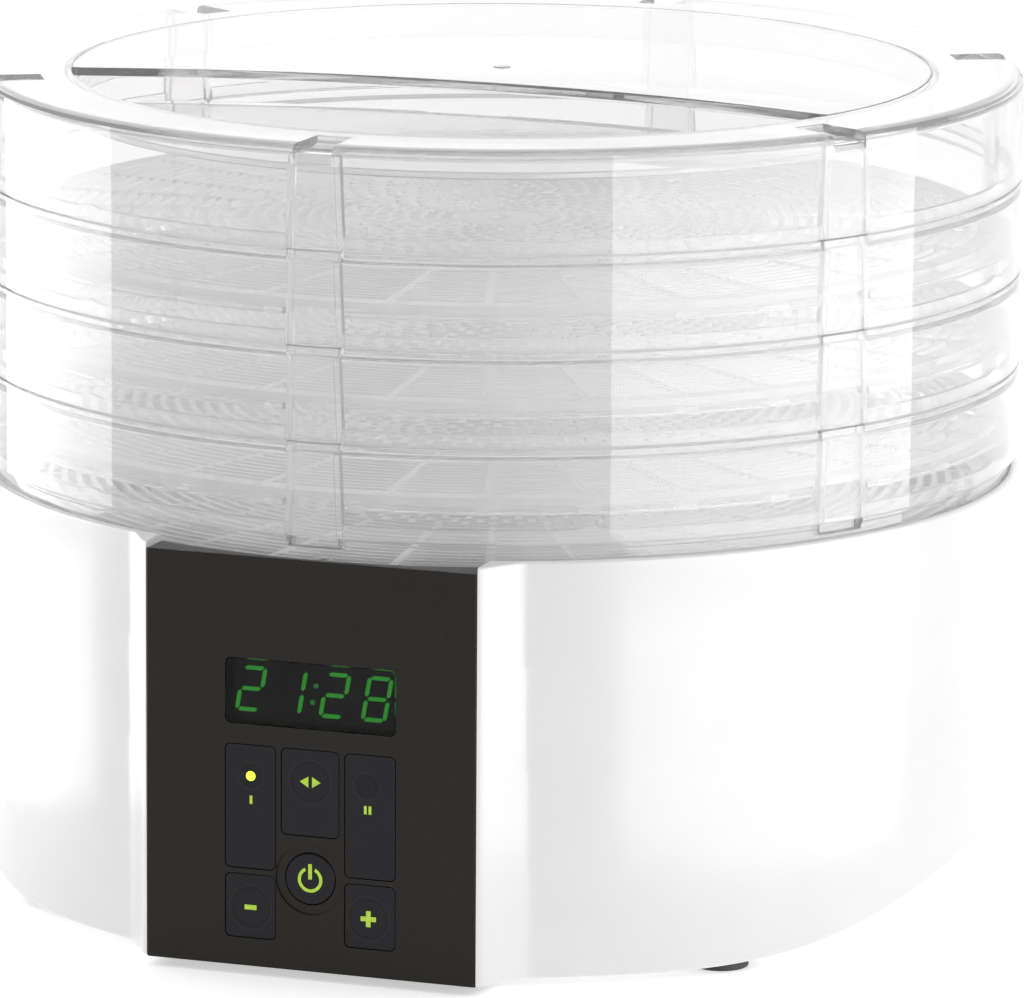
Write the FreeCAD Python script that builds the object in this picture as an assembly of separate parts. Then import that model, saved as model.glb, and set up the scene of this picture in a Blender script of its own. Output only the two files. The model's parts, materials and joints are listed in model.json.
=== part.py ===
"""Round stacking food dehydrator: a drum base with a heater and fan, three clear trays with
grids, and a deep clear lid.

Frame: origin at the bottom centre, under the feet; the drum's axis is Z, the control panel faces -Y.
Millimetres throughout.
"""
import FreeCAD, Part
import math
import os

# ---- driving dimensions -------------------------------------------------------------------------------
DRUM_R = 165.0            # outer radius of the trays, and of the base at its rim
BASE_FOOT_R = 163.0       # outer radius of the base at its lower edge
BASE_LOW = 3.0            # lower edge of the housing, above the table
BASE_TOP = 133.0          # rim of the housing
BASE_WALL = 2.5
ARCH_HEIGHT = 20.5        # low arches at both sides let the air in
ARCH_HALF = 132.0
ARCH_MID_Y = 8.0

PANEL_HALF = 53.6
PANEL_FRONT = 165.8       # distance of the panel's face in front of the axis
PANEL_TOP = 131.0
CHEEK_X = 67.0            # the cheeks beside the panel run from here on the drum
CHEEK_Y = 146.5

STACK_Z = 137.8           # lower edge of the lowest tray's wall
PITCH = 29.4              # height that each tray adds
TRAY_COUNT = 3
WALL_IN_R = 163.0
LIP_OUT_R = 162.7
LIP_IN_R = 160.9
LIP_RISE = 5.5
JOINT_GAP = 0.3
FLOOR_TOP = 13.5          # floor of a tray above its wall's lower edge
FLOOR_THICK = 2.2
LID_TOP = 258.0
LID_SKIN = 2.6
DRUM_RING_R = 137.7       # ring under the lid, which is also the front wall of the finger recess
RECESS_FLOOR = 245.0
NOTCH_R = 148.0           # inner end of the rim notches, with a vent slot
VENT_WIDE = 10.0
RECESS_ARC_R = 370.0      # the recess's rear edge is an arc of this radius
RECESS_ARC_Y = -30.0      # and crosses the centre line here

GRID_R = 158.6            # the pierced grid rests on a flange inside the tray's wall
FLANGE_IN_R = 157.6

COLUMNS = (0, 60, 120, 180, 240, 300)
COLUMN_WIDE = 16.5        # hollow columns stand on the inside of the walls
POCKET_WIDE = 12.5
POCKET_IN_R = 161.0
COLUMN_IN_R = 159.4
TAB_DROP = 3.0
NOTCH_WIDE = 12.0         # notch in the lid's rim over each column

LEG_ANGLES = (47.5, 132.5, 227.5, 312.5)
DECK_ANGLES = (0, 90, 180, 270)
LEG_R = 149.5
COVER_Z = 26.0
COVER_THICK = 2.5
LEDGE_Z = 122.5
LEDGE_IN_R = 152.0
LEDGE_TOP = 125.2
RIM_IN_R = 162.7
SEAT_TOP = 137.3
SEAT_OUT_R = 162.3
SEAT_IN_R = 158.6
DECK_R = 158.3
DECK_Z = 125.3
DECK_THICK = 2.5

SHAFT_R = 2.5
KEY_GAP = 0.3
KEY_FACE = 165.6
GLAND_Z = 45.0

UP = FreeCAD.Vector(0, 0, 1)
RIGHT = FreeCAD.Vector(1, 0, 0)
BACK = FreeCAD.Vector(0, 1, 0)
ORIGIN = FreeCAD.Vector(0, 0, 0)


# ---- helpers ------------------------------------------------------------------------------------------
def vec(x, y, z=0.0):
    return FreeCAD.Vector(x, y, z)


def box(x0, x1, y0, y1, z0, z1):
    return Part.makeBox(x1 - x0, y1 - y0, z1 - z0, vec(x0, y0, z0))


def disc(radius, z0, z1, x=0.0, y=0.0):
    return Part.makeCylinder(radius, z1 - z0, vec(x, y, z0))


def ring(outer, inner, z0, z1, x=0.0, y=0.0):
    return disc(outer, z0, z1, x, y).cut(disc(inner, z0 - 1, z1 + 1, x, y))


def rod_y(radius, y0, y1, x, z):
    return Part.makeCylinder(radius, y1 - y0, vec(x, y0, z), BACK)


def prism(points, z0, z1):
    corners = [vec(x, y, z0) for x, y in points]
    face = Part.Face(Part.makePolygon(corners + corners[:1]))
    return face.extrude(vec(0, 0, z1 - z0))


def turned(shape, degrees):
    """Copy of shape turned about the drum's axis; 0 is the front and positive angles go towards +X."""
    copy = shape.copy()
    copy.rotate(ORIGIN, UP, degrees)
    return copy


def front_box(r0, r1, width, z0, z1):
    """Box on the front centre line, from radius r0 to r1."""
    return box(-width / 2, width / 2, -r1, -r0, z0, z1)


def around(shape, angles):
    return [turned(shape, angle) for angle in angles]


def fused(shapes):
    return shapes[0].multiFuse(shapes[1:]).removeSplitter()


def group(shapes):
    return Part.makeCompound(shapes)


def polar(radius, degrees, z=0.0):
    angle = math.radians(degrees)
    return vec(radius * math.sin(angle), -radius * math.cos(angle), z)


def sector_wire(r0, r1, a0, a1, z):
    """Closed outline of an annular sector between two radii and two angles."""
    mid = (a0 + a1) / 2
    outer = Part.Arc(polar(r1, a0, z), polar(r1, mid, z), polar(r1, a1, z)).toShape()
    inner = Part.Arc(polar(r0, a1, z), polar(r0, mid, z), polar(r0, a0, z)).toShape()
    side_1 = Part.LineSegment(polar(r1, a1, z), polar(r0, a1, z)).toShape()
    side_0 = Part.LineSegment(polar(r0, a0, z), polar(r1, a0, z)).toShape()
    return Part.Wire([outer, side_1, inner, side_0])


def circle_wire(radius, z, x=0.0, y=0.0):
    return Part.Wire([Part.makeCircle(radius, vec(x, y, z))])


def pierced_disc(radius, z0, z1, holes):
    """Flat disc with openings; each hole is a closed wire at height z0."""
    face = Part.Face([circle_wire(radius, z0)] + holes)
    face.validate()
    return face.extrude(vec(0, 0, z1 - z0))


def rounded_bar(x0, x1, z0, z1, y0, y1, corner):
    """Block with rounded corners as seen from the front, from depth y0 to y1."""
    block = box(x0, x1, y0, y1, z0, z1)
    edges = [edge for edge in block.Edges if abs(edge.Vertexes[0].Y - edge.Vertexes[1].Y) > 0.01]
    return block.makeFillet(corner, edges)


# ---- base shells --------------------------------------------------------------------------------------
def drum_body():
    cone = Part.makeCone(BASE_FOOT_R, DRUM_R, BASE_TOP - BASE_LOW, vec(0, 0, BASE_LOW))
    nose = PANEL_HALF + 1.0
    outline = [(-CHEEK_X, -CHEEK_Y), (-nose, -PANEL_FRONT), (nose, -PANEL_FRONT), (CHEEK_X, -CHEEK_Y)]
    boss = prism(outline, BASE_LOW, BASE_TOP)
    return cone.fuse(boss)


def arch_cutter():
    """One side's low arch: a smooth hump seen from the side."""
    steps = 12
    low = -5.0
    points = []
    for step in range(steps + 1):
        along = -ARCH_HALF + 2 * ARCH_HALF * step / steps
        height = ARCH_HEIGHT * math.cos(math.pi / 2 * along / ARCH_HALF) ** 2
        points.append(vec(100.0, ARCH_MID_Y + along, BASE_LOW + height - 0.05))
    hump = Part.BSplineCurve()
    hump.interpolate(points)
    first = vec(100.0, points[0].y, low)
    last = vec(100.0, points[-1].y, low)
    edges = [hump.toShape(), Part.makeLine(points[-1], last), Part.makeLine(last, first)]
    edges.append(Part.makeLine(first, points[0]))
    return Part.Face(Part.Wire(edges)).extrude(vec(90.0, 0, 0))


def screw_post(degrees):
    """Post inside the housing wall that takes a cover screw from below."""
    z0 = COVER_Z + COVER_THICK + 0.2
    post = disc(6.0, z0, z0 + 20.0, 0, -LEG_R)
    web = front_box(LEG_R + 4.0, DRUM_R - 3.0, 3.0, z0, z0 + 20.0)
    hole = disc(1.85, z0 - 1, z0 + 16.0, 0, -LEG_R)
    return turned(post.fuse(web).cut(hole), degrees)


def base_housing():
    inner_low = BASE_FOOT_R - BASE_WALL
    taper = (DRUM_R - BASE_FOOT_R) / (BASE_TOP - BASE_LOW)
    depth = LEDGE_Z - BASE_LOW
    hollow = Part.makeCone(inner_low, inner_low + taper * depth, depth, vec(0, 0, BASE_LOW))
    shell = drum_body().cut(hollow)
    shell = shell.cut(disc(LEDGE_IN_R, LEDGE_Z - 1, LEDGE_TOP + 1))
    shell = shell.cut(disc(RIM_IN_R, LEDGE_TOP, BASE_TOP + 1))
    opening = box(-PANEL_HALF - 0.2, PANEL_HALF + 0.2, -PANEL_FRONT - 5, -140.0, BASE_LOW - 1, LEDGE_Z)
    upper = box(-PANEL_HALF - 0.2, PANEL_HALF + 0.2, -PANEL_FRONT - 5, -140.0, LEDGE_Z - 1, BASE_TOP + 1)
    upper = upper.cut(disc(RIM_IN_R - 0.3, LEDGE_Z - 2, BASE_TOP + 2))
    shell = shell.cut(opening).cut(upper)
    arch = arch_cutter()
    shell = shell.cut(arch).cut(arch.mirror(ORIGIN, RIGHT))
    shell = shell.cut(rod_y(6.1, 140.0, 170.0, 0, GLAND_Z))
    shell = shell.multiFuse([screw_post(angle) for angle in LEG_ANGLES])
    for angle in DECK_ANGLES:
        shell = shell.cut(turned(disc(1.7, LEDGE_Z - 2, LEDGE_TOP + 1, 0, -155.0), angle))
    return shell.removeSplitter()


def slot_rings(radii, width, sectors, bridge, z):
    """Wires of concentric slots: one ring of slots per radius, each cut into sectors."""
    wires = []
    for radius in radii:
        gap = math.degrees(bridge / (radius + width / 2)) / 2
        for sector in range(sectors):
            start = 360.0 / sectors * sector
            end = 360.0 / sectors * (sector + 1)
            wires.append(sector_wire(radius, radius + width, start + gap, end - gap, z))
    return wires


def bottom_cover():
    radii = [20.0, 28.0, 36.0, 44.0, 52.0]
    holes = slot_rings(radii, 4.5, 8, 5.0, COVER_Z)
    plate = pierced_disc(159.5, COVER_Z, COVER_Z + COVER_THICK, holes)
    plate = plate.cut(box(-56.0, 56.0, -170.0, -145.0, COVER_Z - 1, COVER_Z + 5))
    legs = []
    for angle in LEG_ANGLES:
        leg = disc(9.0, 4.1, COVER_Z, 0, -LEG_R)
        leg = leg.cut(disc(4.5, 4.0, 22.0, 0, -LEG_R))
        legs.append(turned(leg, angle))
    posts = [disc(4.0, COVER_Z + COVER_THICK, 39.9, x, 0) for x in (-38.0, 38.0)]
    posts += [disc(3.0, COVER_Z + COVER_THICK, 37.9, x, y) for x in (-44.0, 44.0) for y in (-130.0, -90.0)]
    cover = plate.multiFuse(legs + posts)
    for angle in LEG_ANGLES:
        cover = cover.cut(turned(disc(2.0, 20.0, 30.0, 0, -LEG_R), angle))
    return cover.removeSplitter()


def cover_screws():
    screw = disc(3.8, 18.9, 21.9, 0, -LEG_R).fuse(disc(1.8, 21.9, 40.0, 0, -LEG_R))
    slot = disc(1.6, 18.0, 20.4, 0, -LEG_R)
    return group(around(screw.cut(slot), LEG_ANGLES))


def rubber_feet():
    pad = disc(8.7, 0.0, 4.0, 0, -LEG_R)
    pad = pad.makeFillet(0.6, [edge for edge in pad.Edges if abs(edge.BoundBox.ZMax) < 0.01])
    plug = disc(4.4, 4.0, 9.0, 0, -LEG_R)
    return group(around(pad.fuse(plug), LEG_ANGLES))


def deck_grille():
    radii = [16.0 + 8.0 * index for index in range(11)]
    holes = slot_rings(radii, 4.6, 28, 3.2, DECK_Z)
    plate = pierced_disc(DECK_R, DECK_Z, DECK_Z + DECK_THICK, holes)
    bead = ring(112.0, 109.5, DECK_Z + DECK_THICK, DECK_Z + DECK_THICK + 1.2)
    deck = plate.fuse(bead)
    for angle in DECK_ANGLES:
        deck = deck.cut(turned(disc(1.7, DECK_Z - 1, DECK_Z + 5, 0, -155.0), angle))
    return deck.removeSplitter()


def deck_screws():
    top = DECK_Z + DECK_THICK
    screw = disc(3.0, top, top + 1.8, 0, -155.0).fuse(disc(1.6, top - 10.0, top, 0, -155.0))
    cross = front_box(153.2, 156.8, 0.8, top + 0.9, top + 3).fuse(front_box(154.6, 155.4, 3.6, top + 0.9, top + 3))
    return group(around(screw.cut(cross), DECK_ANGLES))


def seat_ring():
    """Clear ring in the base's rim, with a lip that the lowest tray fits over."""
    body = ring(SEAT_OUT_R, SEAT_IN_R, LEDGE_TOP + 0.1, SEAT_TOP)
    lip = ring(LIP_OUT_R, LIP_IN_R, SEAT_TOP - 1.0, STACK_Z + LIP_RISE)
    notch_low = STACK_Z - TAB_DROP - 0.4
    notch = front_box(SEAT_IN_R - 4, SEAT_OUT_R + 2, COLUMN_WIDE + 1.2, notch_low, STACK_Z + LIP_RISE + 1)
    return body.fuse(lip).cut(group(around(notch, COLUMNS))).removeSplitter()


def cord_gland():
    flange = rod_y(9.0, 163.9, PANEL_FRONT, 0, GLAND_Z)
    barrel = rod_y(5.9, 150.0, 164.0, 0, GLAND_Z)
    nut = rod_y(8.5, 152.0, 157.5, 0, GLAND_Z)
    return flange.multiFuse([barrel, nut]).cut(rod_y(3.6, 149.0, 167.0, 0, GLAND_Z))


# ---- control panel ------------------------------------------------------------------------------------
WINDOW = (-27.5, 27.5, 79.0, 99.0)
STRIP_LEFT = (-27.6, -11.4, 33.8, 72.2)
STRIP_RIGHT = (11.4, 27.6, 33.8, 72.2)
KEY_PROGRAM = (-9.3, 9.3, 45.5, 72.2)
KEY_MINUS = (-27.6, -11.4, 12.0, 31.6)
KEY_PLUS = (11.4, 27.6, 12.0, 31.6)
POWER_Z = 32.0
POWER_R = 8.0
POWER_RING_R = 11.2
PANE_CORNER = 1.6
LAMP_X = 19.3
LAMP_Z = 62.5
BOARD_BACK = 152.4
BOARD_FRONT = 154.0


def pane(area, grow, front0, front1):
    """Rounded block that fills an area of the panel, grown by a margin, between two distances in front."""
    x0, x1, z0, z1 = area
    return rounded_bar(x0 - grow, x1 + grow, z0 - grow, z1 + grow, -front1, -front0, PANE_CORNER + grow)


def panel_cutters(grow):
    areas = (WINDOW, STRIP_LEFT, STRIP_RIGHT, KEY_PROGRAM, KEY_MINUS, KEY_PLUS)
    cutters = [pane(area, grow, 158.0, 170.0) for area in areas]
    cutters.append(rod_y(POWER_R + grow, -170.0, -158.0, 0, POWER_Z))
    return group(cutters)


def panel_front():
    plate = box(-PANEL_HALF, PANEL_HALF, -PANEL_FRONT, -164.3, BASE_LOW, PANEL_TOP)
    upright = [edge for edge in plate.Edges if abs(edge.BoundBox.ZLength - (PANEL_TOP - BASE_LOW)) < 0.01]
    front = [edge for edge in upright if edge.BoundBox.YMax < -165.0]
    plate = plate.makeFillet(0.5, front)
    dish = rod_y(POWER_RING_R, -PANEL_FRONT - 1, -PANEL_FRONT + 0.5, 0, POWER_Z)
    return plate.cut(panel_cutters(KEY_GAP)).cut(dish)


def board_posts():
    return [(x, z) for x in (-42.0, 42.0) for z in (14.0, 102.0)]


def panel_body():
    half = PANEL_HALF - 0.1
    block = box(-half, half, -164.2, -147.0, BASE_LOW, PANEL_TOP - 0.2)
    inside = box(-half + 2.0, half - 2.0, -161.8, -140.0, BASE_LOW + 2.0, PANEL_TOP - 2.2)
    shell = block.cut(inside)
    upper = disc(162.6, LEDGE_Z - 0.4, BASE_TOP + 5)
    shell = shell.cut(upper)
    posts = [rod_y(3.0, -161.9, -BOARD_FRONT - 0.1, x, z) for x, z in board_posts()]
    shell = shell.multiFuse(posts)
    holes = [rod_y(1.45, -160.0, -150.0, x, z) for x, z in board_posts()]
    return shell.cut(group(holes)).cut(panel_cutters(KEY_GAP)).removeSplitter()


def display_window():
    return pane(WINDOW, 0.0, 162.4, 165.7)


def indicator_windows():
    return group([pane(STRIP_LEFT, 0.0, 162.4, 165.7), pane(STRIP_RIGHT, 0.0, 162.4, 165.7)])


def key_block(area):
    cap = pane(area, 0.0, 160.0, KEY_FACE)
    x0, x1, z0, z1 = area
    flange = box(x0 - 0.9, x1 + 0.9, -161.4, -159.9, z0 - 0.9, z1 + 0.9)
    return cap.fuse(flange).removeSplitter()


def key_power():
    cap = rod_y(POWER_R, -KEY_FACE, -160.0, 0, POWER_Z)
    front = [edge for edge in cap.Edges if edge.BoundBox.YMax < -165.5]
    cap = cap.makeFillet(0.5, front)
    return cap.fuse(rod_y(POWER_R + 1.0, -161.4, -159.9, 0, POWER_Z)).removeSplitter()


def digit_segments(centre_x, lit):
    """Seven bars of one digit, slanted by 8 degrees; lit names the bars that are built."""
    wide = 7.2
    tall = 14.2
    thick = 1.5
    low = WINDOW[2] + 3.0
    bars = {
        "a": (0, tall, True), "b": (wide / 2, tall * 0.75, False), "c": (wide / 2, tall * 0.25, False),
        "d": (0, 0, True), "e": (-wide / 2, tall * 0.25, False), "f": (-wide / 2, tall * 0.75, False),
        "g": (0, tall / 2, True),
    }
    shapes = []
    for name in lit:
        across, up, level = bars[name]
        half_x = wide / 2 - 1.0 if level else thick / 2
        half_z = thick / 2 if level else tall / 4 - 1.0
        shift = centre_x + across + (up - tall / 2) * math.tan(math.radians(8))
        bar = box(shift - half_x, shift + half_x, -161.9, -161.3, low + up - half_z, low + up + half_z)
        shapes.append(bar)
    return shapes


def display_digits():
    lit = [(-20.6, "abged"), (-7.4, "bc"), (6.7, "abged"), (20.4, "abcdefg")]
    shapes = []
    for centre_x, bars in lit:
        shapes += digit_segments(centre_x, bars)
    for x, z in ((-0.6, 86.4), (0.5, 91.6)):
        shapes.append(rod_y(0.6, -161.9, -161.3, x, z))
    return group(shapes)


def display_module():
    return box(-26.0, 26.0, -161.2, -BOARD_FRONT - 0.05, 80.0, 98.0)


def indicator_lamps():
    return group([rod_y(2.4, -161.8, -BOARD_FRONT - 0.05, x, LAMP_Z) for x in (-LAMP_X, LAMP_X)])


def control_board():
    board = box(-46.0, 46.0, -BOARD_FRONT, -BOARD_BACK, 8.0, 108.0)
    holes = [rod_y(1.5, -160.0, -150.0, x, z) for x, z in board_posts()]
    return board.cut(group(holes))


def board_screws():
    screws = []
    for x, z in board_posts():
        shank = rod_y(1.4, -158.5, -BOARD_BACK, x, z)
        screws.append(shank.fuse(rod_y(2.7, -BOARD_BACK, -150.8, x, z)))
    return group(screws)


def key_switches():
    spots = [(0, 58.8), (0, POWER_Z), (-19.5, 21.8), (19.5, 21.8)]
    switches = []
    for x, z in spots:
        case = box(x - 3, x + 3, -157.5, -BOARD_FRONT - 0.05, z - 3, z + 3)
        switches.append(case.fuse(rod_y(1.7, -158.9, -157.5, x, z)))
    return group(switches)


# ---- electronics in the base --------------------------------------------------------------------------
def power_board():
    return box(-50.0, 50.0, -136.0, -84.0, 38.0, 39.6)


def transformer():
    core = box(-44.0, -10.0, -126.0, -96.0, 39.7, 62.0)
    winding = box(-38.0, -16.0, -131.0, -91.0, 42.0, 60.0)
    return core.fuse(winding)


def relay():
    return rounded_bar(8.0, 28.0, 39.7, 56.0, -128.0, -112.0, 1.0)


def capacitors():
    return group([disc(6.0, 39.7, 60.0, x, -98.0) for x in (14.0, 30.0)])


def terminal_block():
    block = box(36.0, 48.0, -130.0, -104.0, 39.7, 52.0)
    holes = [disc(2.2, 46.0, 53.0, 42.0, y) for y in (-125.0, -117.0, -109.0)]
    return block.cut(group(holes))


def ribbon_cable():
    """Flat cable from the control board's back, down to the power board."""
    outline = [(-152.3, 52.0), (-146.0, 52.0), (-139.0, 44.0), (-134.5, 44.0), (-134.5, 39.7)]
    outline += [(-133.5, 39.7), (-133.5, 45.0), (-138.5, 45.0), (-145.5, 53.0), (-152.3, 53.0)]
    corners = [vec(-6.0, y, z) for y, z in outline]
    face = Part.Face(Part.makePolygon(corners + corners[:1]))
    return face.extrude(vec(12.0, 0, 0))


# ---- motor, fan and heater ----------------------------------------------------------------------------
MOTOR_SCREW_X = 27.0
STATOR_Z0 = 46.0
STATOR_Z1 = 62.0
HUB_Z0 = 74.0
HUB_Z1 = 90.0
FAN_R = 56.0
DUCT_IN_R = 60.0


def motor_stator():
    stack = box(-32.0, 32.0, -24.0, 40.0, STATOR_Z0, STATOR_Z1)
    window = box(-20.0, 20.0, 18.0, 30.0, STATOR_Z0 - 1, STATOR_Z1 + 1)
    bore = disc(14.3, STATOR_Z0 - 1, STATOR_Z1 + 1)
    holes = [disc(2.1, STATOR_Z0 - 1, STATOR_Z1 + 1, x, 0) for x in (-MOTOR_SCREW_X, MOTOR_SCREW_X)]
    return stack.cut(window).cut(bore).cut(group(holes))


def motor_coil():
    outer = box(-17.0, 17.0, 25.5, 44.5, 41.0, 67.0)
    edges = [edge for edge in outer.Edges if edge.BoundBox.XLength > 30]
    outer = outer.makeFillet(3.0, edges)
    return outer.cut(box(-20.0, 20.0, 29.8, 40.2, STATOR_Z0 - 0.2, STATOR_Z1 + 0.2))


def motor_bracket(z0, z1, spacer0, spacer1, half_length):
    plate = box(-half_length, half_length, -10.0, 10.0, z0, z1)
    spacers = [disc(4.0, spacer0, spacer1, x, 0) for x in (-MOTOR_SCREW_X, MOTOR_SCREW_X)]
    bracket = plate.multiFuse(spacers)
    holes = [disc(2.1, 30.0, 80.0, x, 0) for x in (-MOTOR_SCREW_X, MOTOR_SCREW_X)]
    holes.append(disc(6.05, 30.0, 80.0))
    return bracket.cut(group(holes)).removeSplitter()


def motor_bearings():
    return group([ring(6.0, SHAFT_R + 0.05, 38.5, 45.0), ring(6.0, SHAFT_R + 0.05, 63.0, 69.5)])


def motor_screws():
    screws = []
    for x in (-MOTOR_SCREW_X, MOTOR_SCREW_X):
        screws.append(disc(2.0, 38.0, 68.0, x, 0).fuse(disc(3.6, 68.0, 70.5, x, 0)))
    return group(screws)


def motor_shaft():
    return disc(SHAFT_R, 36.0, 95.0)


def motor_rotor():
    return ring(13.9, SHAFT_R, STATOR_Z0 + 1, STATOR_Z1 - 1)


def fan_impeller():
    hub = ring(14.0, SHAFT_R, HUB_Z0, HUB_Z1)
    middle = (HUB_Z0 + HUB_Z1) / 2
    blade = box(-13.0, 13.0, -FAN_R - 2, -11.0, middle - 0.9, middle + 0.9)
    blade.rotate(vec(0, 0, middle), BACK, 34)
    blade = blade.common(ring(FAN_R, 13.0, HUB_Z0 - 4, HUB_Z1 + 4))
    blades = around(blade, [360.0 / 7 * index for index in range(7)])
    return hub.multiFuse(blades).removeSplitter()


def fan_nut():
    return ring(4.8, SHAFT_R, HUB_Z1, HUB_Z1 + 4)


def air_duct():
    tube = ring(DUCT_IN_R + 2.0, DUCT_IN_R, 66.0, DECK_Z - 0.1)
    flange = ring(70.0, DUCT_IN_R, DECK_Z - 2.2, DECK_Z - 0.1)
    return tube.fuse(flange).removeSplitter()


COIL_RADII = (46.0, 30.0)
COIL_Z = 106.0


def heater_frame():
    plate = box(-59.8, 59.8, -0.6, 0.6, 98.0, 114.0).common(disc(59.8, 90.0, 120.0))
    frame = plate.multiFuse([turned(plate, 90), disc(7.0, 98.0, 114.0)])
    for radius in COIL_RADII:
        frame = frame.cut(Part.makeTorus(radius, 2.3, vec(0, 0, COIL_Z)))
    return frame


def heater_coil():
    return group([Part.makeTorus(radius, 2.0, vec(0, 0, COIL_Z)) for radius in COIL_RADII])


def thermal_cutout():
    return Part.makeCylinder(3.0, 12.0, vec(11.0, 4.2, 104.0), RIGHT)


def thermostat():
    return disc(8.0, 118.0, DECK_Z - 0.2, 75.0, 30.0).fuse(disc(5.0, 112.0, 118.0, 75.0, 30.0))


# ---- trays and lid ------------------------------------------------------------------------------------
RIB_ANGLES = (7.6, 18.8, 30.0, 41.2, 52.4)


def rib_directions():
    return [column + angle for column in COLUMNS for angle in RIB_ANGLES]


def floor_holes(z):
    """Two rings of slots between the ribs, and three rings of round holes near the middle."""
    ribs = sorted(rib_directions())
    wires = []
    for index, start in enumerate(ribs):
        end = ribs[(index + 1) % len(ribs)] + (360 if index == len(ribs) - 1 else 0)
        for r0, r1 in ((90.0, 120.0), (124.0, 153.0)):
            gap = math.degrees(2.2 / ((r0 + r1) / 2))
            wires.append(sector_wire(r0, r1, start + gap, end - gap, z))
    for radius, count in ((28.0, 8), (50.0, 12), (72.0, 18)):
        for index in range(count):
            spot = polar(radius, 360.0 / count * index)
            wires.append(circle_wire(8.0, z, spot.x, spot.y))
    return wires


def column(low, z1):
    """Hollow column on the inside of a wall, with a tab that drops into the piece below."""
    post = front_box(COLUMN_IN_R, WALL_IN_R + 0.4, COLUMN_WIDE, low + JOINT_GAP, z1)
    pocket = front_box(POCKET_IN_R, WALL_IN_R + 2, POCKET_WIDE, low - 1, z1 - 2.0)
    pocket = pocket.common(disc(WALL_IN_R, low - 2, z1))
    tab = front_box(COLUMN_IN_R, POCKET_IN_R, COLUMN_WIDE - 2.0, low - TAB_DROP, low + 1.0)
    return post.cut(pocket).fuse(tab)


def tray(low):
    """Clear wall of a tray whose lower edge is at height low: locating lip, flange for the grid, six columns."""
    top = low + PITCH
    wall = ring(DRUM_R, WALL_IN_R, low + JOINT_GAP, top)
    shoulder = ring(WALL_IN_R + 0.2, LIP_IN_R, top - 2.5, top)
    lip = ring(LIP_OUT_R, LIP_IN_R, top - 2.5, top + LIP_RISE)
    gap = front_box(LIP_IN_R - 3, WALL_IN_R - 0.2, COLUMN_WIDE + 1.2, top - 3.5, top + LIP_RISE + 1)
    rim = shoulder.fuse(lip).cut(group(around(gap, COLUMNS)))
    flange_top = low + FLOOR_TOP - FLOOR_THICK - 0.1
    flange = ring(WALL_IN_R + 0.2, FLANGE_IN_R, flange_top - 2.0, flange_top)
    flange = flange.cut(group(around(front_box(POCKET_IN_R, DRUM_R, POCKET_WIDE, low, flange_top + 1), COLUMNS)))
    columns = around(column(low, top - TAB_DROP - 0.4), COLUMNS)
    return wall.multiFuse([rim, flange] + columns).removeSplitter()


def tray_grid(low):
    """Pierced floor that drops into a tray and rests on its flange."""
    top = low + FLOOR_TOP
    return pierced_disc(GRID_R, top - FLOOR_THICK, top, floor_holes(top - FLOOR_THICK))


def recess_outline(shrink, z0, z1):
    """Finger recess seen from above: inside the drum ring and in front of a long arc."""
    front = disc(DRUM_RING_R - shrink, z0, z1)
    arc_centre = RECESS_ARC_Y - RECESS_ARC_R
    return front.common(disc(RECESS_ARC_R - shrink, z0, z1, 0, arc_centre))


def lid():
    low = STACK_Z + TRAY_COUNT * PITCH
    under = LID_TOP - LID_SKIN
    body = disc(DRUM_R, low + JOINT_GAP, LID_TOP)
    rim = [edge for edge in body.Edges if abs(edge.BoundBox.ZMin - LID_TOP) < 0.01]
    body = body.makeFillet(3.0, rim)
    body = body.cut(disc(WALL_IN_R, low - 1, under))
    drum = ring(DRUM_RING_R, DRUM_RING_R - 2.0, RECESS_FLOOR, under + 0.1)
    cup = recess_outline(0.0, RECESS_FLOOR, LID_TOP)
    backing = column(low, under + 0.1)
    nub = disc(3.0, LID_TOP - 0.5, LID_TOP + 0.4)
    body = body.multiFuse([drum, cup, nub] + around(backing, COLUMNS))
    body = body.cut(recess_outline(2.0, RECESS_FLOOR + 2.0, LID_TOP + 1))
    wedge_points = [(-NOTCH_R, LID_TOP + 1), (-NOTCH_R, LID_TOP - 1.3), (-WALL_IN_R - 1, LID_TOP - 1.6)]
    wedge_points += [(-DRUM_R - 3, LID_TOP - 4.2), (-DRUM_R - 3, LID_TOP + 1)]
    corners = [vec(-NOTCH_WIDE / 2, y, z) for y, z in wedge_points]
    wedge = Part.Face(Part.makePolygon(corners + corners[:1])).extrude(vec(NOTCH_WIDE, 0, 0))
    vent = front_box(NOTCH_R - 1.6, NOTCH_R + 1.0, VENT_WIDE, under - 1, LID_TOP + 1)
    return body.cut(group(around(wedge.fuse(vent), COLUMNS))).removeSplitter()


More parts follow.
